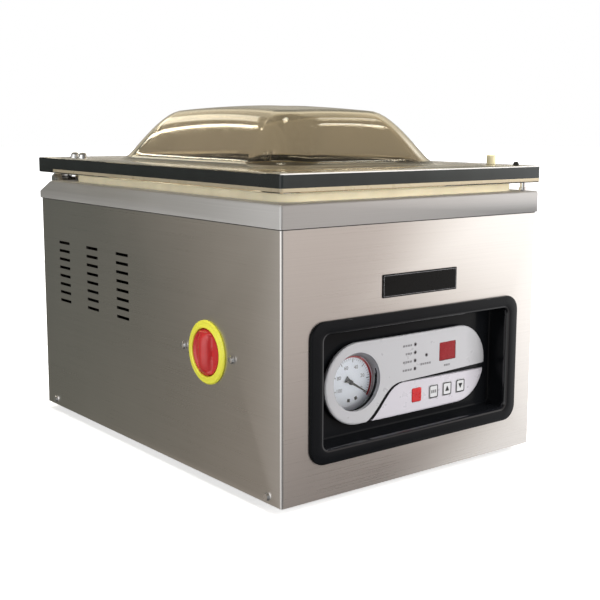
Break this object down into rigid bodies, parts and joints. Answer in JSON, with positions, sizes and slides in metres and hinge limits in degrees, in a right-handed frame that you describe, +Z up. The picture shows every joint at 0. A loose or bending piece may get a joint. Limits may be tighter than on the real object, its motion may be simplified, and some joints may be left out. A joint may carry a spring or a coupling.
{
  "type": "vacuum chamber sealer",
  "caption": "Countertop vacuum chamber sealer: brushed steel box, clear domed lid hinged at the rear, recessed control panel with vacuum gauge, and a red and yellow isolator switch on the side.",
  "frame": {"origin": "centre of the plane the rubber feet stand on", "axes": "+X to the right seen from the front, +Y from the control panel to the hinges, +Z up"},
  "size_m": [0.3414, 0.4836, 0.365],
  "materials": {
    "wrap_steel": "brushed, satin",
    "deck_steel": "brushed, satin",
    "pan_steel": "satin",
    "tub_steel": "satin",
    "bright_steel": "polished",
    "pin_steel": "polished",
    "hinge_steel": "satin",
    "foot_rubber": "matt",
    "gasket_rubber": "matt",
    "counter_rubber": "matt",
    "plate_black": "gloss",
    "bezel_black": "high gloss",
    "fascia_grey": "satin",
    "display_red": "gloss",
    "lens_dark": "gloss",
    "key_red": "satin",
    "key_grey": "satin",
    "case_metal": "satin",
    "dial_white": "matt",
    "needle_black": "matt",
    "clear_glass": "clear",
    "board_green": "satin",
    "switch_yellow": "gloss",
    "switch_red": "gloss",
    "black_plastic": "satin",
    "lid_acrylic": "clear, tinted",
    "counter_aluminium": "satin",
    "screw_dark": "dark, satin",
    "plug_cream": "satin",
    "filler_white": "satin",
    "insulator_brown": "satin",
    "pump_iron": "painted",
    "brass": "satin"
  },
  "bodies": {
    "housing": {"base_pan": "pan_steel", "outer_wrap": "wrap_steel", "rear_panel": "wrap_steel", "top_deck": "deck_steel", "rubber_feet": "foot_rubber", "panel_screws": "bright_steel", "name_plate": "plate_black", "control_bezel": "bezel_black", "control_fascia": "fascia_grey", "lower_fascia": "fascia_grey", "display_window": "display_red", "indicator_lenses": "lens_dark", "gauge_case": "case_metal", "gauge_dial": "dial_white", "gauge_glass": "clear_glass", "control_board": "board_green", "switch_ring": "switch_yellow", "switch_body": "black_plastic", "switch_screws": "bright_steel", "hinge_base_left": "hinge_steel", "hinge_base_right": "hinge_steel", "hinge_pins": "bright_steel", "hinge_springs": "bright_steel", "chamber_tub": "tub_steel", "chamber_gasket": "gasket_rubber", "filler_plates": "filler_white", "lift_cylinders": "pump_iron", "vacuum_port": "bright_steel", "pump_housing": "pump_iron", "motor_casing": "pan_steel", "fan_cowl": "black_plastic", "exhaust_filter": "black_plastic", "pump_mounts": "foot_rubber", "vacuum_hose": "foot_rubber", "hose_clips": "pin_steel", "vent_valve": "brass", "transformer": "pan_steel", "lid_switch": "black_plastic", "power_inlet": "black_plastic"},
    "lid_assembly": {"lid": "lid_acrylic", "counter_bar": "counter_aluminium", "counter_strip": "counter_rubber", "corner_screw": "screw_dark", "lid_plug": "plug_cream", "lid_bolts": "bright_steel", "hinge_leaf_left": "hinge_steel", "hinge_leaf_right": "hinge_steel"},
    "seal_bar_assembly": {"seal_bar": "counter_aluminium", "bar_insulator": "insulator_brown", "heating_strip": "bright_steel", "lift_rods": "bright_steel"},
    "isolator_knob": {"switch_knob": "switch_red"},
    "start_button": {"start_key": "key_red"},
    "set_button": {"set_key": "key_grey"},
    "up_button": {"up_key": "key_grey"},
    "down_button": {"down_key": "key_grey"},
    "needle": {"gauge_needle": "needle_black"},
    "lid_plunger": {"lid_switch_pin": "pin_steel"},
    "pump_shaft": {"pump_rotor": "pump_iron", "motor_fan": "black_plastic"}
  },
  "joints": [
    {"name": "lid_hinge", "type": "hinge", "parent": "housing", "child": "lid_assembly", "pos_m": [0, 0.226, 0.279], "axis": [-1, 0, 0], "range_deg": [0, 60]},
    {"name": "seal_bar_lift", "type": "slide", "parent": "housing", "child": "seal_bar_assembly", "axis": [0, 0, 1], "range_m": [0, 0.008]},
    {"name": "isolator_turn", "type": "hinge", "parent": "housing", "child": "isolator_knob", "pos_m": [-0.165, -0.1205, 0.1303], "axis": [-1, 0, 0], "range_deg": [0, 90]},
    {"name": "start_press", "type": "slide", "parent": "housing", "child": "start_button", "axis": [0, 1, 0], "range_m": [0, 0.001], "stiffness_N_per_m": 500, "springref_m": -0.001},
    {"name": "set_press", "type": "slide", "parent": "housing", "child": "set_button", "axis": [0, 1, 0], "range_m": [0, 0.001], "stiffness_N_per_m": 500, "springref_m": -0.001},
    {"name": "up_press", "type": "slide", "parent": "housing", "child": "up_button", "axis": [0, 1, 0], "range_m": [0, 0.001], "stiffness_N_per_m": 500, "springref_m": -0.001},
    {"name": "down_press", "type": "slide", "parent": "housing", "child": "down_button", "axis": [0, 1, 0], "range_m": [0, 0.001], "stiffness_N_per_m": 500, "springref_m": -0.001},
    {"name": "needle_turn", "type": "hinge", "parent": "housing", "child": "needle", "pos_m": [-0.0652, 0, 0.1038], "axis": [0, -1, 0], "range_deg": [0, 245]},
    {"name": "lid_plunger_press", "type": "slide", "parent": "housing", "child": "lid_plunger", "axis": [0, 0, -1], "range_m": [0, 0.003], "stiffness_N_per_m": 300, "springref_m": -0.001},
    {"name": "pump_spin", "type": "hinge", "parent": "housing", "child": "pump_shaft", "pos_m": [0, 0.125, 0.1], "axis": [1, 0, 0], "continuous": true}
  ]
}
